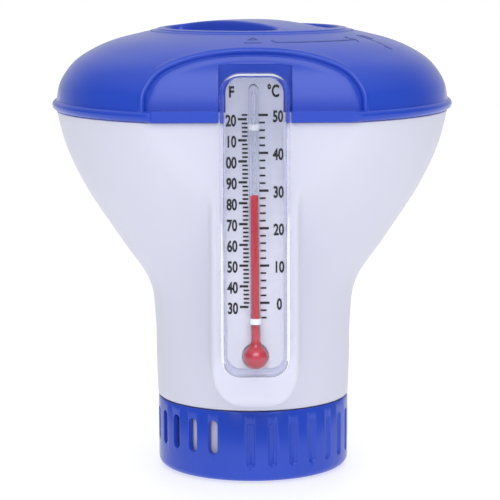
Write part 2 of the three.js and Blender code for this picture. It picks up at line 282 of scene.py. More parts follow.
# ---------------------------------------------------------------- shader sums
class Value:
    """A shader socket that can be used in sums."""

    def __init__(self, shader, socket):
        self.shader = shader
        self.socket = socket

    def _sum(self, operation, first, second):
        node = self.shader.node("ShaderNodeMath", {"operation": operation}, {0: first, 1: second})
        return Value(self.shader, node.outputs[0])

    def __add__(self, other):
        return self._sum("ADD", self, other)

    __radd__ = __add__

    def __sub__(self, other):
        return self._sum("SUBTRACT", self, other)

    def __rsub__(self, other):
        return self._sum("SUBTRACT", other, self)

    def __mul__(self, other):
        return self._sum("MULTIPLY", self, other)

    __rmul__ = __mul__

    def __truediv__(self, other):
        return self._sum("DIVIDE", self, other)

    def __rtruediv__(self, other):
        return self._sum("DIVIDE", other, self)

    def size(self):
        """The value without its sign."""
        return self._sum("ABSOLUTE", self, 0.0)

    def ramp(self, start, end):
        """A smooth rise from 0 at the start to 1 at the end."""
        values = {"Value": self, "From Min": start, "From Max": end, "To Min": 0.0, "To Max": 1.0}
        node = self.shader.node("ShaderNodeMapRange", {"interpolation_type": "SMOOTHSTEP"}, values)
        return Value(self.shader, node.outputs[0])


class Shader:
    """A node material for one finish."""

    def __init__(self, name):
        self.material = bpy.data.materials.new(name)
        self.material.use_nodes = True
        self.tree = self.material.node_tree
        self.tree.nodes.clear()
        self.output = self.node("ShaderNodeOutputMaterial")
        self.place = self.node("ShaderNodeTexCoord").outputs["Object"]

    def node(self, kind, settings=None, values=None):
        node = self.tree.nodes.new(kind)
        for key, value in (settings or {}).items():
            setattr(node, key, value)
        for key, value in (values or {}).items():
            socket = node.inputs[key]
            if isinstance(value, Value):
                self.tree.links.new(value.socket, socket)
            elif isinstance(value, bpy.types.NodeSocket):
                self.tree.links.new(value, socket)
            else:
                socket.default_value = value
        return node

    def noise(self, scale, detail=3.0, roughness=0.5):
        values = {"Vector": self.place, "Scale": scale, "Detail": detail, "Roughness": roughness}
        return Value(self, self.node("ShaderNodeTexNoise", values=values).outputs["Fac"])

    def along(self, axis):
        """How far along an axis, in metres."""
        apart = self.node("ShaderNodeSeparateXYZ", values={"Vector": self.place})
        return Value(self, apart.outputs[axis])

    def mix(self, factor, first, second):
        settings = {"data_type": "RGBA"}
        node = self.node("ShaderNodeMix", settings)
        for socket, value in ((node.inputs[0], factor), (node.inputs[6], first), (node.inputs[7], second)):
            if isinstance(value, Value):
                self.tree.links.new(value.socket, socket)
            elif isinstance(value, bpy.types.NodeSocket):
                self.tree.links.new(value, socket)
            else:
                socket.default_value = value
        return node.outputs[2]

    def bump(self, height, distance, strength=1.0):
        values = {"Height": height, "Distance": distance, "Strength": strength}
        return self.node("ShaderNodeBump", values=values).outputs["Normal"]

    def surface(self, **values):
        """The Principled shader, with its sockets named with underscores for spaces."""
        named = {key.replace("_", " "): value for key, value in values.items()}
        principled = self.node("ShaderNodeBsdfPrincipled", values=named)
        self.tree.links.new(principled.outputs[0], self.output.inputs["Surface"])
        return self.material


def colour(red, green, blue):
    """An sRGB colour, 0 to 255, as linear values."""
    linear = []
    for part in (red, green, blue):
        part /= 255
        linear.append(part / 12.92 if part <= 0.04045 else ((part + 0.055) / 1.055) ** 2.4)
    return (*linear, 1.0)


# ---------------------------------------------------------------- finishes
def blue_gloss():
    """Glossy royal blue moulding, with faint flow and a few rubbed patches."""
    shader = Shader("blue_gloss_moulding")
    flow = shader.noise(35, 4)
    haze = shader.noise(160, 3)
    tint = shader.mix(flow, colour(39, 74, 196), colour(45, 80, 204))
    return shader.surface(
        Base_Color=tint,
        Roughness=haze * 0.08 + 0.17,
        IOR=1.5,
        Specular_IOR_Level=0.38,
        Normal=shader.bump(shader.noise(60, 2), 0.00005, 0.35),
    )


def mark_shade():
    """The turning marks: the same moulding, coloured darker blue as painted shade along the moulded lines, with a
    random mottle.
    """
    shader = Shader("turning_marks_painted_shade")
    mottle = shader.noise(300, 3)
    # painted shade: the darker blues stand in for the shade along the moulded marks
    tint = shader.mix(mottle, colour(36, 54, 132), colour(50, 70, 158))
    return shader.surface(Base_Color=tint, Roughness=mottle * 0.1 + 0.4)


def white_satin():
    """Satin white moulding with a cool cast and a very fine texture."""
    shader = Shader("white_satin_moulding")
    cloud = shader.noise(28, 3)
    tint = shader.mix(cloud, colour(221, 222, 240), colour(225, 226, 244))
    return shader.surface(
        Base_Color=tint,
        Roughness=shader.noise(220, 2) * 0.12 + 0.36,
        Specular_IOR_Level=0.45,
        Subsurface_Weight=0.12,
        Subsurface_Radius=(0.004, 0.004, 0.005),
        Subsurface_Scale=1.0,
        Normal=shader.bump(shader.noise(900, 2), 0.00002, 0.5),
    )


def clear_moulding():
    """Clear moulded plastic that lets light through to the card."""
    shader = Shader("clear_moulding")
    glassy = shader.node(
        "ShaderNodeBsdfGlass", values={"Color": (0.97, 0.975, 1.0, 1.0), "Roughness": 0.06, "IOR": 1.27}
    )
    return with_clear_shadow(shader, glassy)


def with_clear_shadow(shader, glassy):
    """Light passes the clear piece instead of leaving a dark shadow behind it."""
    path = shader.node("ShaderNodeLightPath")
    through = shader.node("ShaderNodeBsdfTransparent", values={"Color": (0.95, 0.95, 0.97, 1.0)})
    mixed = shader.node("ShaderNodeMixShader")
    shader.tree.links.new(path.outputs["Is Shadow Ray"], mixed.inputs[0])
    shader.tree.links.new(glassy.outputs[0], mixed.inputs[1])
    shader.tree.links.new(through.outputs[0], mixed.inputs[2])
    shader.tree.links.new(mixed.outputs[0], shader.output.inputs["Surface"])
    return shader.material


def drawn_glass():
    shader = Shader("drawn_glass")
    glassy = shader.node(
        "ShaderNodeBsdfGlass", values={"Color": (0.97, 0.98, 1.0, 1.0), "Roughness": 0.0, "IOR": 1.5}
    )
    return with_clear_shadow(shader, glassy)


def dyed_spirit():
    shader = Shader("dyed_spirit")
    depth = shader.noise(120, 2)
    tint = shader.mix(depth, colour(206, 34, 58), colour(222, 46, 66))
    return shader.surface(
        Base_Color=tint, Roughness=depth * 0.04 + 0.1, Specular_IOR_Level=0.4, Coat_Weight=0.3
    )


def satin_card():
    shader = Shader("scale_card_and_painted_shade")
    grain = shader.noise(700, 3)
    height = shader.along("Z")
    # painted shade: the darker upper colour takes over towards the top of the card, under the dome
    low = shader.mix(grain, colour(208, 209, 219), colour(216, 217, 226))
    high = shader.mix(grain, colour(158, 161, 178), colour(168, 171, 187))
    tint = shader.mix(height.ramp(0.052, 0.112), low, high)
    return shader.surface(
        Base_Color=tint, Roughness=grain * 0.1 + 0.42, Normal=shader.bump(grain, 0.00001, 0.4)
    )


def printing_ink():
    shader = Shader("printing_ink")
    mottle = shader.noise(900, 4)
    tint = shader.mix(mottle, colour(3, 3, 10), colour(12, 12, 22))
    return shader.surface(Base_Color=tint, Roughness=mottle * 0.1 + 0.5, Specular_IOR_Level=0.2)


def seal_rubber():
    shader = Shader("seal_rubber")
    grain = shader.noise(500, 3)
    tint = shader.mix(grain, colour(30, 31, 34), colour(44, 45, 48))
    return shader.surface(
        Base_Color=tint, Roughness=grain * 0.15 + 0.6, Normal=shader.bump(grain, 0.00002, 0.4)
    )


def clip_plastic(name, alpha):
    """Milky white clip plastic, as thin as its alpha says; on the clear upper clip the faint white is a painted
    highlight.
    """
    shader = Shader(name)
    grain = shader.noise(300, 3)
    tint = shader.mix(grain, colour(236, 236, 240), colour(246, 246, 248))
    return shader.surface(Base_Color=tint, Roughness=grain * 0.1 + 0.3, Alpha=alpha)


BLUE = blue_gloss()
WHITE = white_satin()
CLEAR = clear_moulding()
GLASS = drawn_glass()
MARK = mark_shade()
SPIRIT = dyed_spirit()
CARD = satin_card()
INK = printing_ink()
RUBBER = seal_rubber()
CLIP = clip_plastic("clip_plastic", 1.0)
# painted highlight: the upper clip is clear, and its faint white stands in for its glints
CLEAR_CLIP = clip_plastic("clear_clip_painted_highlight", 0.3)


# ---------------------------------------------------------------- camera, floor and light
def make_camera():
    """The camera stands in front and a little above, turned slightly to the left of the front."""
    distance, height = 603.1, 146.1
    azimuth, pitch, roll = -0.5, 8.32, -0.22
    yaw = 0.066
    x, y = polar(distance, azimuth)
    camera = bpy.data.objects.new("camera", bpy.data.cameras.new("camera"))
    camera.data.lens = 162.93
    camera.data.sensor_width = 36
    camera.data.clip_start, camera.data.clip_end = 0.01, 10
    camera.location = Vector((x, y, height)) * MM
    turn = Matrix.Rotation(math.radians(azimuth + yaw), 3, "Z")
    tilt = Matrix.Rotation(math.radians(90 - pitch), 3, "X")
    lean = Matrix.Rotation(math.radians(roll), 3, "Z")
    camera.rotation_euler = (turn @ tilt @ lean).to_euler()
    bpy.context.scene.collection.objects.link(camera)
    bpy.context.scene.camera = camera


def make_floor():
    """A wide white floor, lit a little from below."""
    bm = bmesh.new()
    bmesh.ops.create_grid(bm, x_segments=1, y_segments=1, size=4.0)
    mesh = bpy.data.meshes.new("floor")
    bm.to_mesh(mesh)
    bm.free()
    shader = Shader("pale_floor")
    pale = shader.mix(shader.noise(3, 2), colour(172, 172, 173), colour(175, 175, 176))
    mesh.materials.append(
        shader.surface(Base_Color=pale, Roughness=0.6, Emission_Color=(1, 1, 1, 1), Emission_Strength=0.66)
    )
    floor = bpy.data.objects.new("floor", mesh)
    floor.location.z = -0.0005
    bpy.context.scene.collection.objects.link(floor)


def area_light(name, place, aim, size, power, tint=(1, 1, 1)):
    light = bpy.data.lights.new(name, "AREA")
    light.shape = "RECTANGLE"
    light.size, light.size_y = size
    light.energy = power
    light.color = tint
    lamp = bpy.data.objects.new(name, light)
    lamp.location = place
    direction = Vector(aim) - Vector(place)
    lamp.rotation_euler = direction.to_track_quat("-Z", "Y").to_euler()
    bpy.context.scene.collection.objects.link(lamp)


def make_world():
    """A pale studio: bright overhead and behind, and dim low down in front and at the sides."""
    world = bpy.data.worlds.new("studio")
    bpy.context.scene.world = world
    world.use_nodes = True
    tree = world.node_tree
    tree.nodes.clear()
    place = tree.nodes.new("ShaderNodeTexCoord")
    apart = tree.nodes.new("ShaderNodeSeparateXYZ")
    tree.links.new(place.outputs["Generated"], apart.inputs[0])

    def fade(axis, start, end, level):
        """Light that grows from nothing to a level between two places on an axis."""
        ramp = tree.nodes.new("ShaderNodeMapRange")
        ramp.interpolation_type = "SMOOTHSTEP"
        tree.links.new(apart.outputs[axis], ramp.inputs["Value"])
        for key, value in {"From Min": start, "From Max": end, "To Min": 0.0, "To Max": level}.items():
            ramp.inputs[key].default_value = value
        return ramp.outputs[0]

    total = None
    for part in (fade("Y", 0.3, 0.95, BACK_GLOW), fade("Z", 0.35, 0.95, TOP_GLOW)):
        add = tree.nodes.new("ShaderNodeMath")
        tree.links.new(part, add.inputs[0])
        add.inputs[1].default_value = FRONT_GLOW
        if total is not None:
            tree.links.new(total, add.inputs[1])
        total = add.outputs[0]
    glow = tree.nodes.new("ShaderNodeBackground")
    tree.links.new(total, glow.inputs["Strength"])
    glow.inputs["Color"].default_value = (1, 1, 1, 1)
    out = tree.nodes.new("ShaderNodeOutputWorld")
    tree.links.new(glow.outputs[0], out.inputs["Surface"])


FRONT_GLOW = 0.14
BACK_GLOW = 0.5
TOP_GLOW = 0.8
make_camera()
make_floor()
make_world()
area_light("front_box", (0.05, -1.25, 0.95), (0, 0, 0.08), (1.6, 0.9), 12.0)
bpy.context.scene.view_settings.view_transform = "Standard"


# ---------------------------------------------------------------- float body
def soft_min(a, b, reach):
    """The smaller of two values, blended where they are within reach."""
    h = max(0.0, min(1.0, 0.5 + 0.5 * (b - a) / reach))
    return b * (1 - h) + a * h - reach * h * (1 - h)


def soft_max(a, b, reach):
    return -soft_min(-a, -b, reach)


def boss_half_width(z):
    """Half the column's width: a U at its foot, straight above."""
    drop = BOSS["bottom"] + BOSS["corner"] - z
    if drop <= 0:
        return BOSS["half"]
    if drop >= BOSS["corner"]:
        return 0.0
    flat = BOSS["half"] - BOSS["corner"]
    return flat + math.sqrt(BOSS["corner"] ** 2 - drop**2)


def boss_front(z):
    """How far forward the column's face stands, rounded over at its foot."""
    edge = BOSS["edge"]
    over = BOSS["bottom"] + edge - z
    if over <= 0:
        return FACE_Y
    return FACE_Y - edge + math.sqrt(max(edge**2 - min(over, edge) ** 2, 0))


def body_radius(radius, angle, z, inset):
    """The body's radius at an angle from the front: the turned wall, the column and the flat face."""
    half = boss_half_width(z)
    shift = CENTRE_X if angle > 0 else -CENTRE_X
    if half > 0 and abs(angle) < math.pi / 2:
        side = (half + shift) / max(math.sin(abs(angle)), 1e-4)
        front = boss_front(z) / math.cos(angle)
        column = soft_min(side, front + 1.5, BOSS["edge"] * 2.2) if side < 90 else front + 1.5
        if column > radius - BOSS["fillet"] * 2:
            radius = soft_max(radius, column, BOSS["fillet"])
    if abs(angle) < math.pi / 2:
        face = (FACE_Y - inset) / math.cos(angle)
        if z < SEAM - 45:
            face = min(face, max(boss_front(z) / math.cos(angle), 27))
        radius = soft_min(radius, face, 1.6) if radius > face - 1.6 else radius
    return radius


def float_body():
    """The white funnel with its flat front and the column that carries the thermometer."""
    wall = smooth_outline(BODY_OUTLINE, 14)
    foot = BOSS["bottom"]
    corner = BOSS["corner"]
    rows = [foot + corner * (1 - math.cos(math.radians(90 * i / 16))) for i in range(1, 17)]
    rows = [foot - 0.04, foot + 0.04, *rows]
    low = [(r, z) for r, z in wall if z < foot - 0.3]
    high = [(r, z) for r, z in wall if z > foot + corner + 0.3]
    between = [(25.7 + (z - BODY_LOW.z) * 0.0275, z) for z in rows]
    rim = [(51.6, SEAM + 0.25), (49.6, SEAM + 0.25), (49.4, SEAM + 0.5), (49.4, 98.6)]
    foot_rim = [(24.3, BODY_LOW.z), (25.3, BODY_LOW.z)]
    outline = [*foot_rim, (25.62, BODY_LOW.z + 0.25), *low[2:], *between, *high, *rim]
    bm = spun(outline, 360)
    for v in bm.verts:
        radius = math.hypot(v.co.x, v.co.y)
        turn = math.atan2(v.co.x, -v.co.y)
        turn -= 0.45 * math.sin(turn)  # closer columns across the front
        inset = max(0.0, 51.9 - radius) if v.co.z > SEAM - 0.1 else 0.0
        radius = body_radius(radius, turn, v.co.z, inset)
        v.co.x = radius * math.sin(turn)
        v.co.y = -radius * math.cos(turn)
    finished(bm, "float_body_shell", WHITE, "root", ["float_body"], 50)


# ---------------------------------------------------------------- dome cover
def panel_plane():
    """A point on the leaning front panel and its outward normal."""
    lean = math.atan2(PANEL["top_y"] - PANEL["y"], PANEL["top_z"] - PANEL["z"])
    return Vector((0, PANEL["y"], PANEL["z"])), Vector((0, -math.cos(lean), math.sin(lean)))


def swell(z):
    """How far the panel swells forward of its leaning plane."""
    span = (z - PANEL["z"]) / (PANEL["top_z"] - PANEL["z"])
    return PANEL["swell"] * math.sin(math.pi * min(max(span, -0.5), 1.0))


def sway(bm, amount):
    """Moves each level back by its share of the panel's swell, so that the panel can be cut flat."""
    for v in bm.verts:
        v.co.y += amount * swell(v.co.z)


def open_edges_on(bm, point, normal):
    """The open edges that lie on a plane."""
    loose = [e for e in bm.edges if e.is_boundary]
    return [e for e in loose if all(abs((v.co - point).dot(normal)) < 0.05 for v in e.verts)]


def dome_shell():
    """The blue dome: collar, lid seat, crown and the leaning arch with its lip and channel."""
    crown = smooth_outline(DOME_OUTLINE, 9)
    seat = [(WELL, WELL_FOOT), (WELL, 116.75), (WELL + 0.1, 116.93)]
    collar = [(52.0, z) for z in (97.5, 96, 94.5, 93, 91.5, 90, 88.5)]
    outline = [*seat, (WELL + 0.25, 117), *crown[1:], *collar]
    bm = spun(outline, 240)
    sway(bm, 1)
    point, normal = panel_plane()
    front = [f for f in bm.faces if f.calc_center_median().y < -20]
    cut(bm, point, normal, front, clear=True)
    rim = open_edges_on(bm, point, normal)
    bmesh.ops.remove_doubles(bm, verts=list({v for e in rim for v in e.verts}), dist=0.7)
    rim = open_edges_on(bm, point, normal)
    ends = [v for e in rim for v in e.verts if sum(1 for x in v.link_edges if x in rim) == 1]
    ends = list(dict.fromkeys(ends))
    closing = bm.edges.new(ends[:2])
    panel = bmesh.ops.contextual_create(bm, geom=[*rim, closing])["faces"][0]
    panel.normal_update()
    if panel.normal.dot(normal) < 0:
        panel.normal_flip()
    lip = [(0.12, 0.4), (0.25, 0.3), (0.4, 0.12), (0.4, -0.05), (0.3, -0.25), (0.15, -0.4), (0.08, -0.4)]
    fillet = [(0.2, -0.25), (0.4, -0.2), (0.6, -0.12), (0.7, -0.05), (0.3, 0)]
    step_in(bm, panel, lip + fillet)
    add_channel(bm, panel)
    sway(bm, -1)
    cut(bm, (0, 0, BAND["low"] + 0.15), (0, 0, -1), clear=True)
    bmesh.ops.dissolve_degenerate(bm, dist=0.01, edges=bm.edges)
    finished(bm, "dome_shell", BLUE, "root", ["dome_cover"], 38)


def add_channel(bm, panel):
    """Sinks the middle of the panel to an upright back wall."""
    before = set(bm.faces)
    cut(bm, (CHANNEL["left"], 0, 0), (1, 0, 0), [panel])
    faces = [f for f in bm.faces if f not in before or f == panel]
    cut(bm, (CHANNEL["right"], 0, 0), (1, 0, 0), faces)
    faces = [f for f in bm.faces if f not in before or f == panel]
    inside = [f for f in faces if CHANNEL["left"] < f.calc_center_median().x < CHANNEL["right"]]
    middle = max(inside, key=lambda f: f.calc_area())
    sides = [f for f in faces if f != middle]
    for step in range(26):
        sides = cut_again(bm, sides, (0, 0, 96.4 + step * 0.7), (0, 0, 1))
    made = bmesh.ops.extrude_discrete_faces(bm, faces=[middle])["faces"][0]
    for v in made.verts:
        v.co.y = max(v.co.y, CHANNEL["back"] + swell(v.co.z))
    corners = [e for e in made.edges if abs(e.verts[0].co.x - e.verts[1].co.x) < 0.01]
    long_corners = [e for e in corners if e.calc_length() > 8]
    round_edges(bm, long_corners, 1.2, 4)


def rim_band():
    """The bead round the dome's rim, flat across the front and open at the channel."""
    middle = (BAND["low"] + BAND["high"]) / 2
    half = (BAND["high"] - BAND["low"]) / 2
    bead = arc((BAND["radius"] - half, middle), half, -90, 90, 12)
    bm = spun([(42.5, BAND["low"]), *bead, (42.5, BAND["high"])], 240, closed=True)
    cut(bm, (0, BAND["chord"], 0), (0, -1, 0), clear=True)
    bmesh.ops.holes_fill(bm, edges=[e for e in bm.edges if e.is_boundary])
    for x, side in ((CHANNEL["left"], 1), (CHANNEL["band_right"], -1)):
        cut(bm, (x, 0, 0), (side, 0, 0), [f for f in bm.faces if f.calc_center_median().y < -30])
    gap = [
        f
        for f in bm.faces
        if f.calc_center_median().y < -30
        and CHANNEL["left"] < f.calc_center_median().x < CHANNEL["band_right"]
    ]
    bmesh.ops.delete(bm, geom=gap, context="FACES")
    bmesh.ops.holes_fill(bm, edges=[e for e in bm.edges if e.is_boundary])
    modifiers = [soft_edges(0.8, 50, 4)]
    finished(bm, "dome_rim_band", BLUE, "root", sharp=40, modifiers=modifiers)


def stroke(points, width, crown):
    """A raised line on the dome through (angle from the front, distance from the axis) points."""
    bm = bmesh.new()
    path = [Vector(polar(radius, angle)) for angle, radius in points]
    rows = []
    for i, place in enumerate(path):
        ahead = (path[min(i + 1, len(path) - 1)] - path[max(i - 1, 0)]).normalized()
        side = Vector((-ahead.y, ahead.x)) * width / 2
        ends = [place + side, place - side]
        rows.append([bm.verts.new((p.x, p.y, height_on(crown, p.length) + 0.07)) for p in ends])
    for (a, b), (c, d) in zip(rows, rows[1:]):
        bm.faces.new((a, b, d, c))
    bmesh.ops.recalc_face_normals(bm, faces=bm.faces)
    made = bmesh.ops.extrude_face_region(bm, geom=bm.faces[:])["geom"]
    verts = [g for g in made if isinstance(g, bmesh.types.BMVert)]
    bmesh.ops.translate(bm, vec=(0, 0, -0.2), verts=verts)
    return bm


def dome_marks():
    """The turning marks round the lid: a pointer with its base line, a long arrow and a short one."""
    crown = smooth_outline(DOME_OUTLINE, 9)
    turn_arrow = [(angle, 33.6) for angle in range(10, 54, 2)]
    paths = [
        ([(-2.0, 31.3), (0, 29.3), (2.0, 31.3), (-2.0, 31.3)], 0.5),
        ([(-3.8, 33.8), (0, 33.8), (3.8, 33.8)], 0.5),
        (turn_arrow, 0.55),
        ([(10, 33.6), (8.6, 31.8)], 0.4),
        ([(52, 33.6), (50, 32.3)], 0.45),
        ([(52, 33.6), (50.5, 35.1)], 0.45),
        ([(63.5, 30.5), (62.6, 34), (61.8, 37.5), (61.2, 41)], 0.5),
        ([(66.5, 30.8), (66, 34.2)], 0.5),
        ([(61.2, 41), (59.5, 39.4)], 0.45),
        ([(49.4, 31.3), (51.0, 31.5)], 0.8),
    ]
    bm = joined([stroke(points, width, crown) for points, width in paths])
    finished(bm, "dome_turning_marks", MARK, "root")


# ---------------------------------------------------------------- lid
def crown_height(radius):
    rise = LID["top"] - LID["edge"]
    return LID["top"] - rise * (radius / LID["radius"]) ** 2


def lid_shell():
    """The twist lid: a crowned top with a grip bar between two half-moon pockets, and a skirt."""
    bm = bmesh.new()
    edge = LID["edge"]
    bmesh.ops.create_circle(bm, cap_ends=True, radius=LID["radius"] - 0.35, segments=144)
    bmesh.ops.translate(bm, vec=(0, 0, edge), verts=bm.verts)
    top = bm.faces[:][0]
    if top.normal.z < 0:
        top.normal_flip()
    rim = [(0.9, 0.0), (0.15, 0.18), (0.15, 0.05), (0.6, 0.0)]
    step_in(bm, top, rim)
    turn = math.radians(BAR["angle"])
    across = Vector((-math.sin(turn), math.cos(turn), 0))
    outer = set(bm.faces) - {top}
    for side in (-1, 1):
        inner = [f for f in bm.faces if f not in outer]
        cut(bm, across * BAR["half"] * side, across, inner)
    moons = [f for f in bm.faces if f not in outer]
    moons = [f for f in moons if abs(f.calc_center_median().dot(across)) > BAR["half"]]
    pocket = [(0.25, -0.12), (0.3, -0.4), (0.4, -1.2), (0.8, -2.2), (1.3, -1.5), (1.6, -0.6), (2, -0.2), (0.3, 0)]
    for moon in moons:
        straight = max(moon.edges, key=lambda e: e.calc_length())
        bmesh.ops.subdivide_edges(bm, edges=[straight], cuts=24)
        step_in(bm, moon, [(0.25, 0)])
        relax_loop(moon, 30)
        step_in(bm, moon, pocket)
    along = Vector((math.cos(turn), math.sin(turn), 0))
    wide = [f for f in bm.faces if f not in outer and f.calc_area() > 30]
    for i in range(-8, 9):
        wide = cut_again(bm, wide, along * i * 2.7, along)
    for i in (-3, 0, 3):
        wide = cut_again(bm, wide, across * i, across)
    for v in bm.verts:
        v.co.z += crown_height(math.hypot(v.co.x, v.co.y)) - edge
    add_lid_underside(bm)
    shell = finished(bm, "lid_shell", BLUE, "lid", ["lid"], 35)
    return shell


def relax_loop(face, turns):
    """Rounds a face's corners by drawing each of its points towards its neighbours."""
    verts = list(face.verts)
    for _ in range(turns):
        places = [v.co.copy() for v in verts]
        for i, v in enumerate(verts):
            v.co = places[i] / 2 + (places[i - 1] + places[(i + 1) % len(verts)]) / 4


def cut_again(bm, faces, point, normal):
    """Cuts faces along a plane and returns them with the faces that it made."""
    before = set(bm.faces)
    cut(bm, point, normal, faces)
    return list({*faces, *(set(bm.faces) - before)})


def add_lid_underside(bm):
    """Takes the lid's edge down round the flange and the skirt and closes it inside."""
    loop = [e for e in bm.edges if e.is_boundary]
    steps = [
        (LID["radius"], LID["edge"] - 0.25),
        (LID["radius"], LID["flange"]),
        (LID["skirt"], LID["flange"]),
        (LID["skirt"], LID_LOW.z + 0.3),
        (LID["skirt"] - 0.3, LID_LOW.z),
        (LID["skirt_inner"], LID_LOW.z),
        (LID["skirt_inner"], 109.4),
    ]
    for radius, height in steps:
        made = bmesh.ops.extrude_edge_only(bm, edges=loop)["geom"]
        verts = [g for g in made if isinstance(g, bmesh.types.BMVert)]
        loop = [g for g in made if isinstance(g, bmesh.types.BMEdge)]
        for v in verts:
            flat = Vector((v.co.x, v.co.y)).normalized() * radius
            v.co = (flat.x, flat.y, height)
    bmesh.ops.contextual_create(bm, geom=loop)


def lid_lugs():
    """Three climbing lugs on the skirt."""
    parts = []
    for i in range(LUG["count"]):
        bm = bmesh.new()
        start = LUG["first"] + i * 360 / LUG["count"] - LUG["half_angle"]
        inner = LID["skirt"] - 0.5
        low, high = LUG["low"], LUG["low"] + LUG["height"]
        section = [(inner, low), (LUG["reach"], low), (LUG["reach"], high), (inner, high)]
        verts = [bm.verts.new((r, 0, z)) for r, z in section]
        face = bm.faces.new(verts)
        bmesh.ops.rotate(bm, matrix=Matrix.Rotation(math.radians(start), 3, "Z"), verts=bm.verts)
        steps = 12
        sweep = 2 * LUG["half_angle"]
        bmesh.ops.spin(
            bm,
            geom=[face, *face.edges, *face.verts],
            cent=(0, 0, 0),
            axis=(0, 0, 1),
            dvec=(0, 0, LUG_SLOPE * sweep / steps),
            angle=math.radians(sweep),
            steps=steps,
        )
        cap = [f for f in bm.faces if f.is_valid]
        bmesh.ops.recalc_face_normals(bm, faces=cap)
        parts.append(bm)
    whole = joined(parts)
    finished(whole, "lid_lugs", BLUE, "lid", modifiers=[soft_edges(0.25)])


# ---------------------------------------------------------------- slotted walls
def window_angles(row, first):
    """The middle angles of two opposite rows, in degrees from the front, in the turn that ends at the seam."""
    angles = [first + half + i * row["pitch"] for half in (0, 180) for i in range(row["count"])]
    return [(a - WALL_SEAM) % 360 + WALL_SEAM - 360 for a in angles]


def flat_wall(radius, low, high, rows):
    """A wall unrolled flat, with a rectangle cut for each window of each (row, first angle)."""
    bm = bmesh.new()
    end = math.radians(WALL_SEAM) * radius
    start = end - TAU * radius
    corners = [(start, 0, low), (end, 0, low), (end, 0, high), (start, 0, high)]
    bm.faces.new([bm.verts.new(c) for c in corners])
    windows = []
    for row, first in rows:
        for angle in window_angles(row, first):
            middle = math.radians(angle) * radius
            windows.append((middle - row["width"] / 2, middle + row["width"] / 2, row))
    for left, right, _ in windows:
        for x in (left, right):
            cut(bm, (x, 0, 0), (1, 0, 0))
    found = []
    for left, right, row in windows:
        column = [f for f in bm.faces if left < f.calc_center_median().x < right]
        for z in (row["low"], row["high"]):
            column = cut_again(bm, column, (0, 0, z), (0, 0, 1))
        face = [f for f in column if row["low"] < f.calc_center_median().z < row["high"]][0]
        found.append((face, row))
    return bm, found


def round_window(bm, face, width):
    """Rounds a window's ends and returns its face again."""
    middle = face.calc_center_median()
    round_corners(bm, face.verts[:], width / 2 - 0.02, 6)
    near = [f for f in bm.faces if (f.calc_center_median() - middle).length < width / 2]
    return max(near, key=lambda f: f.calc_area())


def wrapped(bm, radius, step=3):
    """Cuts a flat wall into narrow staves and bends it round the axis."""
    for i in range(1, 360 // step):
        cut(bm, (math.radians(WALL_SEAM - i * step) * radius, 0, 0), (1, 0, 0))
    for v in bm.verts:
        turn = v.co.x / radius
        reach = radius - v.co.y
        v.co = (reach * math.sin(turn), -reach * math.cos(turn), v.co.z)
    bmesh.ops.remove_doubles(bm, verts=bm.verts, dist=0.005)


def flow_cup():
    """The blue cup with its through slots and its shallow flutes."""
    bm, found = flat_wall(CUP_RADIUS, 2.2, CUP_TOP - 0.3, [(SLOT, CUP_FIRST_SLOT), (FLUTE, FLUTE["first"])])
    through = []
    for face, row in found:
        window = round_window(bm, face, row["width"])
        if row is SLOT:
            through.append(window)
        else:
            if window.normal.y > 0:
                window.normal_flip()
            step_in(bm, window, [(0.12, -0.1), (0.2, -0.3), (0.3, -0.12)])
    bmesh.ops.delete(bm, geom=through, context="FACES")
    wrapped(bm, CUP_RADIUS)
    close_cup(bm)
    modifiers = [wall_inwards(1.55), soft_edges(0.22, 45, 2)]
    finished(bm, "flow_cup_shell", BLUE, "flow_cup", ["flow_cup"], 40, modifiers=modifiers)


def close_cup(bm):
    """Rolls the cup's foot round to its flat floor, and turns its lip in."""
    rims = [e for e in bm.edges if e.is_boundary and abs(e.verts[0].co.z - e.verts[1].co.z) < 0.001]
    foot = [e for e in rims if e.verts[0].co.z < 2.3]
    edge = 2.2
    outline = arc((CUP_RADIUS - edge, edge), edge, 0, -90, 7)[1:] + [(15.0, 0.0)]
    for radius, height in outline:
        foot = extruded_ring(bm, foot, radius, height)
    bmesh.ops.contextual_create(bm, geom=foot)
    top = [e for e in rims if e.is_valid and e.verts[0].co.z > CUP_TOP - 0.4]
    extruded_ring(bm, top, CUP_RADIUS - 0.2, CUP_TOP)


def extruded_ring(bm, loop, radius, height):
    """Extrudes a round loop of edges to another radius and height."""
    made = bmesh.ops.extrude_edge_only(bm, edges=loop)["geom"]
    for g in made:
        if isinstance(g, bmesh.types.BMVert):
            flat = Vector((g.co.x, g.co.y)).normalized() * radius
            g.co = (flat.x, flat.y, height)
    return [g for g in made if isinstance(g, bmesh.types.BMEdge)]


def tablet_tube():
    """The white tube inside, with the slots that the cup's slots pass over."""
    bm, found = flat_wall(TUBE_RADIUS, TUBE_LOW.z, TUBE_HIGH.z, [(SLOT, TUBE_FIRST_SLOT)])
    through = [round_window(bm, face, row["width"]) for face, row in found]
    bmesh.ops.delete(bm, geom=through, context="FACES")
    wrapped(bm, TUBE_RADIUS)
    modifiers = [wall_inwards(1.6), soft_edges(0.2, 45, 2)]
    finished(bm, "tablet_tube_wall", WHITE, "root", ["tablet_tube"], 40, modifiers=modifiers)


# ---------------------------------------------------------------- thermometer
def rounded_board(width, low, high, corner, y):
    """An upright face with round corners, looking to the front."""
    bm = bmesh.new()
    half = width / 2
    corners = [(-half, low), (half, low), (half, high), (-half, high)]
    face = bm.faces.new([bm.verts.new((CENTRE_X + x, y, z)) for x, z in corners])
    round_corners(bm, bm.verts[:], corner, 10)
    face = max(bm.faces, key=lambda f: f.calc_area())
    if face.normal.y > 0:
        face.normal_flip()
    return bm, face


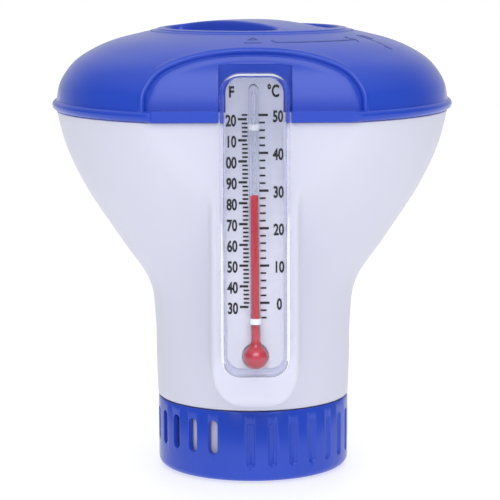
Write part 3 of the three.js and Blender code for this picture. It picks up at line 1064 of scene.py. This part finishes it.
def thermometer_cover():
    """A clear tray over the scale, with a soft front edge and a thick wall."""
    width = COVER_HIGH.x - COVER_LOW.x
    bm, face = rounded_board(width, COVER_LOW.z, COVER_HIGH.z, 5, COVER_HIGH.y)
    depth = COVER_HIGH.y - COVER_LOW.y
    made = bmesh.ops.extrude_discrete_faces(bm, faces=[face])["faces"][0]
    bmesh.ops.translate(bm, vec=(0, -(depth - 1.3), 0), verts=made.verts)
    step_in(bm, made, [(0.1, 0.5), (0.25, 0.4), (0.4, 0.25), (0.5, 0.12), (0.6, 0.03)])
    modifiers = [wall_inwards(1.0)]
    finished(bm, "clear_cover", CLEAR, "root", ["thermometer_cover"], 45, modifiers=modifiers)


def bulb_outline(bulb, stem, top, tip):
    """A round bulb that narrows into a stem with a rounded tip."""
    neck = math.degrees(math.asin(stem / bulb))
    ball = arc((0, BULB_Z), bulb, -90, 90 - neck - 8, 18)
    outline = [(max(r, 0.0), z) for r, z in ball]
    outline.append((stem + 0.12, BULB_Z + bulb + 0.35))
    outline.append((stem, BULB_Z + bulb + 1.2))
    cap = arc((0, top - tip), stem, 0, 90, 6)
    outline += [(r, top - tip + (z - top + tip) * tip / stem) for r, z in cap]
    return outline


def stem_x(z):
    """The stem's middle at a height: it leans a little to the left as it rises."""
    share = (z - BULB_Z) / (GLASS_HIGH.z - BULB_Z)
    return CENTRE_X + STEM_LEAN["foot"] + (STEM_LEAN["tip"] - STEM_LEAN["foot"]) * share


def stood_on_card(bm):
    """Moves a shape made on the axis to the stem's place and lean."""
    for v in bm.verts:
        v.co.x += stem_x(v.co.z)
        v.co.y += STEM_Y


def glass_tube():
    """The glass stem and bulb, sealed at the tip, with its bore as an inner wall."""
    outside = spun(bulb_outline(3.05, 1.25, GLASS_HIGH.z, 1.6), 48)
    inside = spun(bulb_outline(2.72, 0.3, GLASS_HIGH.z - 1.8, 0.8), 48)
    bmesh.ops.reverse_faces(inside, faces=inside.faces)
    bm = joined([outside, inside])
    stood_on_card(bm)
    finished(bm, "glass_stem", GLASS, "root", ["glass_tube"], 60, recalc=False)


def spirit_column():
    """Red spirit filling the bulb and the lower part of the bore."""
    bm = spun(bulb_outline(2.92, 0.68, SPIRIT_HIGH.z, 0.3), 40)
    stood_on_card(bm)
    finished(bm, "red_spirit", SPIRIT, "root", ["spirit_column"], 60)


def stem_clip(name, node, material):
    """A staple bent over the stem with its legs on the card."""
    low, high = size_of(node)
    bm = bmesh.new()
    inner, outer = 1.27, 1.45
    middle = stem_x((low.z + high.z) / 2)
    leg = high.y - STEM_Y
    turns = [math.radians(180 + 180 * i / 12) for i in range(13)]
    round_outer = [(outer * math.cos(t), outer * math.sin(t)) for t in turns]
    round_inner = [(inner * math.cos(t), inner * math.sin(t)) for t in reversed(turns)]
    outline = [*round_outer, (outer, leg), (inner, leg), *round_inner, (-inner, leg), (-outer, leg)]
    face = bm.faces.new([bm.verts.new((middle + x, STEM_Y + y, low.z)) for x, y in outline])
    made = bmesh.ops.extrude_face_region(bm, geom=[face])["geom"]
    verts = [g for g in made if isinstance(g, bmesh.types.BMVert)]
    bmesh.ops.translate(bm, vec=(0, 0, high.z - low.z), verts=verts)
    finished(bm, name, material, "root", [node], 40, modifiers=[soft_edges(0.06, 50, 2)])


# ---------------------------------------------------------------- printing on the card
PRINT_Y = CARD_LOW.y - 0.02


def tick(left, right, z, thick):
    bm = bmesh.new()
    corners = [(left, z - thick / 2), (right, z - thick / 2), (right, z + thick / 2), (left, z + thick / 2)]
    face = bm.faces.new([bm.verts.new((x, PRINT_Y, h)) for x, h in corners])
    made = bmesh.ops.extrude_face_region(bm, geom=[face])["geom"]
    verts = [g for g in made if isinstance(g, bmesh.types.BMVert)]
    bmesh.ops.translate(bm, vec=(0, -0.03, 0), verts=verts)
    return bm


def lettering(words, centre, z, height, stretch=0.66):
    """A few digits or a letter as a thin mesh, centred on a point of the card."""
    text = bpy.data.curves.new("figures", "FONT")
    text.body = words
    text.align_x = "CENTER"
    text.align_y = "CENTER"
    text.size = 1.0
    text.extrude = 0.01
    text.offset = 0.034
    text.resolution_u = 4
    holder = bpy.data.objects.new("figures", text)
    bpy.context.scene.collection.objects.link(holder)
    mesh = bpy.data.meshes.new_from_object(holder)
    bpy.data.objects.remove(holder)
    bm = bmesh.new()
    bm.from_mesh(mesh)
    bpy.data.meshes.remove(mesh)
    grow = height / 0.7
    bmesh.ops.scale(bm, vec=(grow * stretch, grow, 1), verts=bm.verts)
    bmesh.ops.rotate(bm, matrix=Matrix.Rotation(math.pi / 2, 3, "X"), verts=bm.verts)
    bmesh.ops.translate(bm, vec=(centre, PRINT_Y - 0.02, z), verts=bm.verts)
    return bm


def scale_print():
    """Ticks every two degrees, with Fahrenheit on the left and Celsius on the right."""
    parts = []
    for celsius in range(-4, 51, 2):
        z = ZERO_C + PER_C * celsius
        major = celsius % 10 == 0
        start, end, thick = (1.18, 3.55, 0.6) if major else (1.37, 2.8, 0.46)
        parts.append(tick(stem_x(z) + start, stem_x(z) + end, z, thick))
        if major:
            parts.append(lettering(str(celsius), stem_x(z) + 6.0, z - 0.5, 2.75))
    for fahrenheit in range(30, 123, 2):
        z = ZERO_C + PER_C * (fahrenheit - 32) / 1.8
        major = fahrenheit % 10 == 0
        start, end, thick = (1.7, 3.85, 0.6) if major else (1.5, 2.9, 0.46)
        parts.append(tick(stem_x(z) - end, stem_x(z) - start, z, thick))
        if major:
            figures = str(fahrenheit)[-2:]
            parts.append(lettering(figures, stem_x(z) - 5.6, z - 0.5, 2.75))
    parts.append(lettering("F", stem_x(104) - 5.4, 103.9, 2.6, 0.8))
    parts.append(lettering("°C", stem_x(104) + 4.9, 104.1, 2.9))
    bm = joined(parts)
    finished(bm, "scale_printing", INK, "root", recalc=False)


# ---------------------------------------------------------------- assembly
def dress(node, material):
    """Gives a CAD node that stays in view its finish."""
    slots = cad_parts[node].material_slots
    for slot in slots:
        slot.material = material


float_body()
dome_shell()
rim_band()
dome_marks()
lid_shell()
lid_lugs()
flow_cup()
tablet_tube()
thermometer_cover()
glass_tube()
spirit_column()
stem_clip("upper_stem_clip", "tube_clip_upper", CLEAR_CLIP)
stem_clip("lower_stem_clip", "tube_clip_lower", CLIP)
scale_print()
dress("scale_card", CARD)
dress("backing_plate", WHITE)
dress("lid_collar", BLUE)
for seal in ("dome_seal", "tube_seal_upper", "tube_seal_lower", "lid_gasket"):
    dress(seal, RUBBER)
